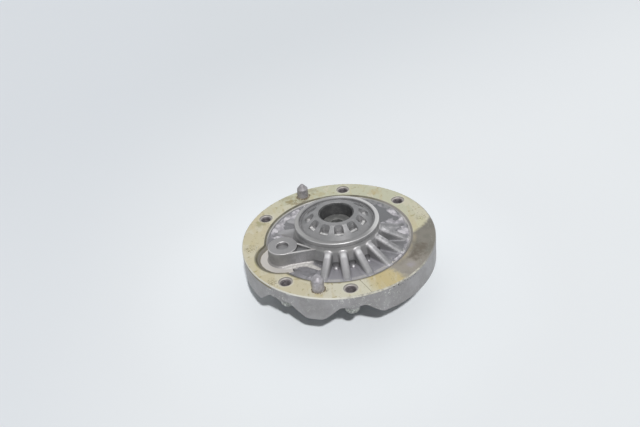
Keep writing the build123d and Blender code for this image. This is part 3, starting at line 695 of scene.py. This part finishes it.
# %% Steel and rubber finishes
def dull_steel(name, dark, light, rough, metal, crust_below=None, highlight_above=None):
    """Steel with blotches and fine scuffs, between two screen tones, with painted shade in its corners,
    pale crust below one height and a painted highlight above another."""
    steel = Recipe(name)
    tone = steel.mottled(steel.noise(5, 4.0, 0.6), 0.35, 0.65, dark, light)
    nick = steel.step(steel.noise(1.4, 4.0, 0.7, 1.0), 0.6, 0.68, 0.0, 0.45)
    tone = steel.mix(nick, tone, screen(196, 194, 196))
    if crust_below is not None:
        low = steel.step(steel.z, (crust_below - 1) * MM, crust_below * MM, 1.0, 0.0)
        crust = steel.mottled(steel.noise(2.0, 4.0, 0.7), 0.45, 0.6, (140, 142, 138), (200, 202, 196))
        tone = steel.mix(low, tone, crust)
    # Painted shade in the steel's corners, found by an ambient occlusion node.
    tone = steel.mix(steel.step(steel.openness(3), 0.2, 0.7, 0.5, 0.0), tone, screen(56, 50, 47))
    if highlight_above is not None:
        # A painted highlight above that height.
        ring = steel.step(steel.z, (highlight_above - 0.1) * MM, (highlight_above + 0.1) * MM)
        tone = steel.mix(steel.math("MULTIPLY", ring, 0.85), tone, screen(186, 181, 176))
    worn_gloss = steel.grey(steel.noise(3, 3.0), rough - 0.1, rough + 0.12)
    tooth = steel.bump(steel.noise(0.8, 4.0, 0.65), 0.2, 0.5)
    return steel.finish(Base_Color=tone, Metallic=metal, Roughness=worn_gloss, Normal=tooth)


PIN_STEEL = dull_steel("pin_steel", (146, 143, 145), (168, 165, 168), 0.6, 0.4)
FRONT_PIN_STEEL = dull_steel("front_pin_steel", (152, 149, 152), (182, 179, 184), 0.52, 0.4)
INSERT_STEEL = dull_steel("insert_steel", (122, 116, 118), (142, 136, 138), 0.55, 0.4,
                          crust_below=-16.0, highlight_above=-1.3)
SEAT_STEEL = dull_steel("seat_steel", (124, 124, 123), (146, 146, 144), 0.5, 0.5)
BUSH_STEEL = dull_steel("bush_steel", (92, 92, 92), (112, 112, 111), 0.5, 0.6)
CUP_STEEL = dull_steel("cup_steel", (40, 40, 42), (58, 58, 60), 0.5, 0.3)

rubber = Recipe("bush_rubber")
rubber_tone = rubber.mottled(rubber.noise(4, 4.0, 0.6), 0.4, 0.7, (72, 72, 73), (92, 92, 92))
rubber_skin = rubber.bump(rubber.noise(0.9, 3.0, 0.6), 0.15, 0.4)
RUBBER = rubber.finish(Base_Color=rubber_tone, Roughness=0.6, Specular_IOR_Level=0.4, Normal=rubber_skin)

NODE_FINISH = {
    "housing": casting_finish,
    "locating_pin_rear": PIN_STEEL,
    "locating_pin_front": FRONT_PIN_STEEL,
    "bush_sleeve": BUSH_STEEL,
    "rod_seat": SEAT_STEEL,
    "rubber_bush": RUBBER,
    "retaining_ring": BUSH_STEEL,
    "bump_stop_cup": CUP_STEEL,
}
for node_name, node in nodes.items():
    node.data.materials.clear()
    node.data.materials.append(NODE_FINISH.get(node_name, INSERT_STEEL))
print("finishes on", len(nodes), "nodes")

# %% [markdown]
# ## Relief that the solids leave out
#
# Lumps on the pocket's floor, a bead of metal at the foot of the ear's web, the inserts' thread,
# dirt and crumbs are added as small pieces. A bump in the finish would be quicker, but it throws
# no shadow and leaves the outline plain. Each piece is closed, has its normals turned outwards,
# and stands on the solid that carries it.

# %% A helper that adds a piece
WELD = 0.0001 * MM


def add_piece(name, bm, finish):
    """Puts a finished mesh into the scene, on the casting."""
    bmesh.ops.remove_doubles(bm, verts=bm.verts, dist=WELD)
    bmesh.ops.recalc_face_normals(bm, faces=bm.faces)
    open_edges = sum(1 for edge in bm.edges if not edge.is_manifold)
    for face in bm.faces:
        face.smooth = True
    mesh = bpy.data.meshes.new(name)
    bm.to_mesh(mesh)
    bm.free()
    mesh.materials.append(finish)
    piece = bpy.data.objects.new(name, mesh)
    bpy.context.scene.collection.objects.link(piece)
    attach(piece, "root")
    print(name, "has", len(mesh.polygons), "faces and", open_edges, "open edges")
    return piece


# %% [markdown]
# The pocket's floor was cast rough and has swollen, flaky lumps about 1.5 mm high. They could be
# modelled one by one, but a grid is quicker: it is extruded to a closed slab, bent round the hub
# and lifted by two noises, a broad one and a flaky one. Where the share of lumps is low the slab
# dips under the floor, so a patch has no edge that shows. The slab stops at the pocket's wall.

# %% The lumps' finish
lump = Recipe("cast_lumps")
lump_tone = lump.mottled(lump.noise(6, 3.0, 0.6), 0.4, 0.62, (176, 173, 178), (224, 220, 224))
lump_tone = lump.mix(lump.step(lump.z, -3.2 * MM, -2.0 * MM, 1.0, 0.0), lump_tone, screen(146, 145, 149))
lump_shade = lump.step(lump.openness(2), 0.2, 0.75, 0.6, 0.0)
lump_tone = lump.mix(lump_shade, lump_tone, screen(98, 97, 100))
lump_skin = lump.bump(lump.noise(1.2, 3.0, 0.6), 0.12, 0.4)
LUMP_METAL = lump.finish(Base_Color=lump_tone, Metallic=0.6, Roughness=0.34, Normal=lump_skin)
print("lumps' finish has", len(lump.tree.nodes), "nodes")

# %% Lumps on the pocket's floor
FLOOR_Z = -3.0
PATCH_DEPTH = 1.6
LEAST_LUMP = -1.0
COLUMN_DEGREES = 0.5
ROW_MM = 0.45


def smooth(value, low, high):
    """0 below low, 1 above high, and a smooth rise between them."""
    t = min(1.0, max(0.0, (value - low) / (high - low)))
    return t * t * (3 - 2 * t)


def lump_height(x, y, share):
    """Height above the floor in millimetres: below it, and so hidden, where the share is low."""
    place = Vector((x / 10.0, y / 10.0, 3.7))
    broad = noise.fractal(place, 1.0, 2.1, 4)
    flaky = noise.ridged_multi_fractal(place * 1.6, 1.0, 2.2, 2, 0.9, 2.0)
    return -0.9 + share * (1.1 + 2.0 * broad + 0.35 * flaky)


def floor_patch(name, start, end, inner, outer, share_at):
    """Closed patch of swollen floor between two angles in degrees and two radii."""
    bm = bmesh.new()
    columns = int((end - start) / COLUMN_DEGREES)
    rows = int((outer - inner) / ROW_MM)
    bmesh.ops.create_grid(bm, x_segments=columns, y_segments=rows, size=1.0)
    grown = bmesh.ops.extrude_face_region(bm, geom=bm.faces[:], use_keep_orig=True)
    top = {item for item in grown["geom"] if isinstance(item, bmesh.types.BMVert)}
    for vert in bm.verts:
        angle = radians(start + (end - start) * (vert.co.x + 1) / 2)
        r = inner + (outer - inner) * (vert.co.y + 1) / 2
        x, y = r * cos(angle), r * sin(angle)
        lift = FLOOR_Z - PATCH_DEPTH
        if vert in top:
            border = smooth(1 - abs(vert.co.x), 0.0, 0.08) * smooth(1 - abs(vert.co.y), 0.0, 0.12)
            lift = FLOOR_Z + max(LEAST_LUMP, lump_height(x, y, border * share_at(r, angle)))
        vert.co = (x * MM, y * MM, lift * MM)
    add_piece(name, bm, LUMP_METAL)


def left_share(r, _angle):
    """How strong the lumps are on the left: stronger towards the pocket's wall."""
    return 0.35 + 0.75 * smooth(r, 50, 62)


def right_share(r, angle):
    """On the right: strongest along the wall and about the first swell, weak in front and behind."""
    turn = degrees(angle)
    wall_side = 1.1 * smooth(r, 62, 67) * (1 - 0.4 * smooth(turn, 34, 42))
    middle = 1.0 * smooth(24 - abs(turn - 4), 0, 8) * smooth(r, 44, 49)
    back = 0.8 * smooth(turn, 46, 52) * smooth(r, 58, 64)
    return max(wall_side, middle, back, 0.25)


def front_share(r, _angle):
    """In front, beside the ear's web: weak all over."""
    return 0.3 + 0.25 * smooth(r, 58, 66)


floor_patch("floor_lumps_left", 108, 172, 46.5, 70.2, left_share)
floor_patch("floor_lumps_right", -46, 60, 45.5, 70.4, right_share)
floor_patch("floor_lumps_front", 224, 246, 50.0, 69.6, front_share)

# %% [markdown]
# A low wavy bead of metal runs along the foot of the ear's web. It could be a curve with a round
# bevel, which has one height all along. Here a ring of vertices is set at each step of the path,
# so the bead can swell and thin out, and both its ends sink into the floor.

# %% Wavy bead at the foot of the ear's web
RIDGE_PATH = (
    (-56.5, -39.6), (-52.0, -39.2), (-47.0, -38.2), (-42.0, -36.6), (-37.0, -35.9),
    (-32.0, -37.4), (-26.5, -42.0), (-21.5, -46.0), (-16.5, -48.5),
)
RIDGE_HALF_W = 3.1
RIDGE_H = 1.5
RIDGE_SUNK = 0.5
RIDGE_LEAST_H = 0.3
RIDGE_STEPS = 60
RIDGE_SIDES = 12

# Pale, matt metal for the bead.
pale_metal = Recipe("pale_bead_metal")
pale_tone = pale_metal.mottled(pale_metal.noise(3.0, 4.0, 0.6), 0.4, 0.6, (188, 185, 182), (206, 203, 199))
RIDGE_METAL = pale_metal.finish(Base_Color=pale_tone, Metallic=0.1, Roughness=0.68)


def curve_through(points, share):
    """Smooth curve through the points, with the share running from 0 to 1."""
    last = len(points) - 1
    where = share * last
    k = min(int(where), last - 1)
    before, start, end, after = (Vector(points[min(max(k + j, 0), last)]) for j in (-1, 0, 1, 2))
    t = where - k
    return 0.5 * (2 * start + (end - before) * t + (2 * before - 5 * start + 4 * end - after) * t * t
                  + (3 * start - before - 3 * end + after) * t * t * t)


def skin(bm, rings):
    """Joins a row of rings of vertices into a tube and closes both its ends."""
    sides = len(rings[0])
    for one, two in zip(rings, rings[1:]):
        for k in range(sides):
            after = (k + 1) % sides
            bm.faces.new((one[k], one[after], two[after], two[k]))
    bm.faces.new(rings[0])
    bm.faces.new(rings[-1])


def ridge():
    """Low rounded bead of metal whose ends sink into the floor."""
    bm = bmesh.new()
    rings = []
    for step in range(RIDGE_STEPS + 1):
        share = step / RIDGE_STEPS
        spot = curve_through(RIDGE_PATH, share)
        ahead_of = curve_through(RIDGE_PATH, min(1.0, share + 0.01))
        behind = curve_through(RIDGE_PATH, max(0.0, share - 0.01))
        along = (ahead_of - behind).normalized()
        across = Vector((-along.y, along.x))
        fade = smooth(share, 0.0, 0.2) * smooth(1 - share, 0.0, 0.3)
        wave = 1 + 0.15 * noise.noise(Vector((spot.x * 0.3, spot.y * 0.3, 0.7)))
        ring = []
        for k in range(RIDGE_SIDES):
            turn = 2 * pi * k / RIDGE_SIDES
            side = spot + across * (RIDGE_HALF_W * wave * cos(turn) * (0.4 + 0.6 * fade))
            level = FLOOR_Z - RIDGE_SUNK + (RIDGE_H * fade * wave + RIDGE_LEAST_H) * sin(turn)
            ring.append(bm.verts.new((side.x * MM, side.y * MM, level * MM)))
        rings.append(ring)
    skin(bm, rings)
    add_piece("web_foot_ridge", bm, RIDGE_METAL)


ridge()

# %% [markdown]
# The steel inserts hold the bolts. The CAD model gives them a plain bore of the tapping size, and
# these have a wider bore with a ridge of 1.5 mm pitch wound down it, so they take the plain ones'
# place. A Screw modifier could wind the ridge too. The spin that turns the body does it as well
# when each of its steps also moves down a little, and the ridge reaches into the bore's wall, so
# no crack shows between them.

# %% Helpers that turn an outline
def outline(bm, corners, x, y):
    """Closed outline of (r, z) corners in millimetres, beside an upright line at x, y."""
    verts = [bm.verts.new(((x + r) * MM, y * MM, z * MM)) for r, z in corners]
    edges = [bm.edges.new((a, b)) for a, b in zip(verts, verts[1:] + verts[:1])]
    return verts, edges


def lathe(bm, corners, x, y, steps):
    """Spins a closed outline once round an upright line at x, y."""
    verts, edges = outline(bm, corners, x, y)
    bmesh.ops.spin(bm, geom=verts + edges, cent=(x * MM, y * MM, 0), axis=(0, 0, 1), angle=2 * pi,
                   steps=steps, use_merge=True)


def wind(bm, corners, x, y, steps, turn_steps, pitch):
    """Winds a closed outline down an upright line at x, y, and closes both its ends."""
    verts, edges = outline(bm, corners, x, y)
    wound = bmesh.ops.spin(bm, geom=verts + edges, cent=(x * MM, y * MM, 0), axis=(0, 0, 1),
                           dvec=(0, 0, -pitch / turn_steps * MM), angle=2 * pi * steps / turn_steps,
                           steps=steps)
    last = [item for item in wound["geom_last"] if isinstance(item, bmesh.types.BMEdge)]
    bmesh.ops.edgeloop_fill(bm, edges=edges)
    bmesh.ops.edgeloop_fill(bm, edges=last)


# %% Threaded inserts
INSERT_R = 6.75
INSERT_TAIL_R = 5.9
INSERT_TAIL = 1.5
INSERT_CHAMFER = 0.3
MOUTH_R = 5.85
MOUTH_DEPTH = 0.9
TAIL_BORE_R = 5.25
TAIL_MOUTH = 0.4
THREAD_R = 4.95
THREAD_TIP_R = 4.25
THREAD_SUNK = 0.1
ROOT_HALF = 0.62
TIP_HALF = 0.1
PITCH = 1.5
TURN_STEPS = 28
BODY_STEPS = 56


def threaded_insert(name, node_name):
    """Insert with the full thread, as high and as deep as the plain one."""
    x, y = centre_of(node_name)
    low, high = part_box(node_name)
    end, top = low[2] / MM, high[2] / MM
    tail_z = end + INSERT_TAIL
    thread_top = top - MOUTH_DEPTH
    thread_end = end + TAIL_MOUTH
    bm = bmesh.new()
    lathe(bm, [
        (MOUTH_R, top),
        (INSERT_R, top),
        (INSERT_R, tail_z + INSERT_CHAMFER),
        (INSERT_R - INSERT_CHAMFER, tail_z),
        (INSERT_TAIL_R, tail_z),
        (INSERT_TAIL_R, end + INSERT_CHAMFER),
        (INSERT_TAIL_R - INSERT_CHAMFER, end),
        (TAIL_BORE_R, end),
        (THREAD_R, thread_end),
        (THREAD_R, thread_top),
    ], x, y, BODY_STEPS)
    start = thread_top - 0.5 * PITCH
    turns = (thread_top - thread_end) / PITCH - 1
    wind(bm, [
        (THREAD_R + THREAD_SUNK, start + ROOT_HALF),
        (THREAD_TIP_R, start + TIP_HALF),
        (THREAD_TIP_R, start - TIP_HALF),
        (THREAD_R + THREAD_SUNK, start - ROOT_HALF),
    ], x, y, int(turns * TURN_STEPS), TURN_STEPS, PITCH)
    insert = add_piece(name, bm, INSERT_STEEL)
    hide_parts(node_name)


for number, node_name in enumerate(INSERTS, 1):
    threaded_insert(f"thread_{number}", node_name)

# %% [markdown]
# Dirt has gathered in the corner between each pin and the flange. A collar of it is turned like
# the inserts, and noise then pushes its outer rings in and out, because a plain ring would look
# like a washer.

# %% Collars of dirt at the pins
dirt = Recipe("dirt")
dirt_tone = dirt.mottled(dirt.noise(1.6, 4.0, 0.7), 0.4, 0.6, (98, 88, 74), (158, 149, 130))
DIRT = dirt.finish(Base_Color=dirt_tone, Roughness=0.9, Specular_IOR_Level=0.1)

DIRT_INNER_R = 5.3
DIRT_HELD_R = 5.4
DIRT_LEAST_R = 5.6
DIRT_SUNK = 0.15
DIRT_STEPS = 72


def dirt_ring(name, node_name, reach, height):
    """Uneven collar of dirt in the corner between a pin and the flange."""
    x, y = centre_of(node_name)
    bm = bmesh.new()
    lathe(bm, [
        (DIRT_INNER_R, -DIRT_SUNK),
        (reach, -DIRT_SUNK),
        (reach, 0.0),
        (reach - 1.0, height * 0.35),
        (DIRT_INNER_R, height),
    ], x, y, DIRT_STEPS)
    for vert in bm.verts:
        dx, dy = vert.co.x / MM - x, vert.co.y / MM - y
        away = hypot(dx, dy)
        if away > DIRT_HELD_R:
            swing = 1 + 0.55 * (noise.noise(Vector((dx * 0.5, dy * 0.5, 1.3))) - 0.1)
            scale = max(DIRT_LEAST_R, DIRT_HELD_R + (away - DIRT_HELD_R) * swing) / away
            vert.co.x = (x + dx * scale) * MM
            vert.co.y = (y + dy * scale) * MM
    add_piece(name, bm, DIRT)


dirt_ring("dirt_rear_pin", "locating_pin_rear", 7.4, 1.3)
dirt_ring("dirt_front_pin", "locating_pin_front", 6.7, 0.8)

# %% [markdown]
# Crumbs of dirt and of pale corrosion lie on the flange and in the pocket. A hair system could
# scatter them, but that is much to set up for about 160 crumbs. Each is a squashed icosphere of
# 20 faces, thrown by a random generator with a fixed seed, so every run gives the same crumbs.

# %% Crumbs about the flange and the pocket
chalk = Recipe("pale_crumbs")
chalk_tone = chalk.mottled(chalk.noise(1.5, 3.0), 0.4, 0.6, (196, 190, 180), (228, 224, 214))
CHALK = chalk.finish(Base_Color=chalk_tone, Roughness=0.7)
throw = Random(11)


def crumbs(name, finish, heaps):
    """Heaps of small uneven crumbs: (x, y, spread, level, count, largest) in millimetres."""
    bm = bmesh.new()
    for x, y, spread, level, count, largest in heaps:
        for _ in range(count):
            turn = throw.uniform(0, 2 * pi)
            away = spread * throw.random() ** 0.6
            size = largest * throw.uniform(0.35, 1.0)
            spot = Vector((x + away * cos(turn), y + away * sin(turn), level + size * 0.3)) * MM
            squash = Matrix.Diagonal((throw.uniform(0.7, 1.3), throw.uniform(0.7, 1.3), 0.7, 1.0))
            pose = Matrix.Translation(spot) @ Matrix.Rotation(turn, 4, "Z") @ squash
            bmesh.ops.create_icosphere(bm, subdivisions=1, radius=size * MM, matrix=pose)
    add_piece(name, bm, finish)


front_x, front_y = centre_of("locating_pin_front")
rear_x, rear_y = centre_of("locating_pin_rear")
crumbs("dark_crumbs", DIRT, [
    (front_x + 5.5, front_y - 3.5, 3.0, 0.0, 14, 0.5),
    (rear_x - 5.0, rear_y - 4.5, 4.0, 0.0, 16, 0.5),
    (-65.0, -62.0, 5.0, 0.0, 14, 0.4),
    (-85.0, -7.0, 6.0, 0.0, 16, 0.4),
    (83.0, 30.0, 8.0, 0.0, 14, 0.35),
])
crumbs("pale_crumbs", CHALK, [
    (front_x + 3.0, front_y - 6.0, 3.2, 0.0, 16, 0.6),
    (rear_x + 3.0, rear_y - 6.5, 2.0, 0.0, 8, 0.5),
    (-22.5, -43.5, 3.0, FLOOR_Z + 0.3, 9, 0.4),
    (-18.5, -47.5, 4.0, FLOOR_Z, 8, 0.4),
    (-40.0, -52.0, 7.0, FLOOR_Z - 1.8, 14, 0.45),
    (48.0, -45.0, 4.5, FLOOR_Z, 20, 0.7),
    (58.0, -33.0, 4.0, FLOOR_Z, 14, 0.6),
])
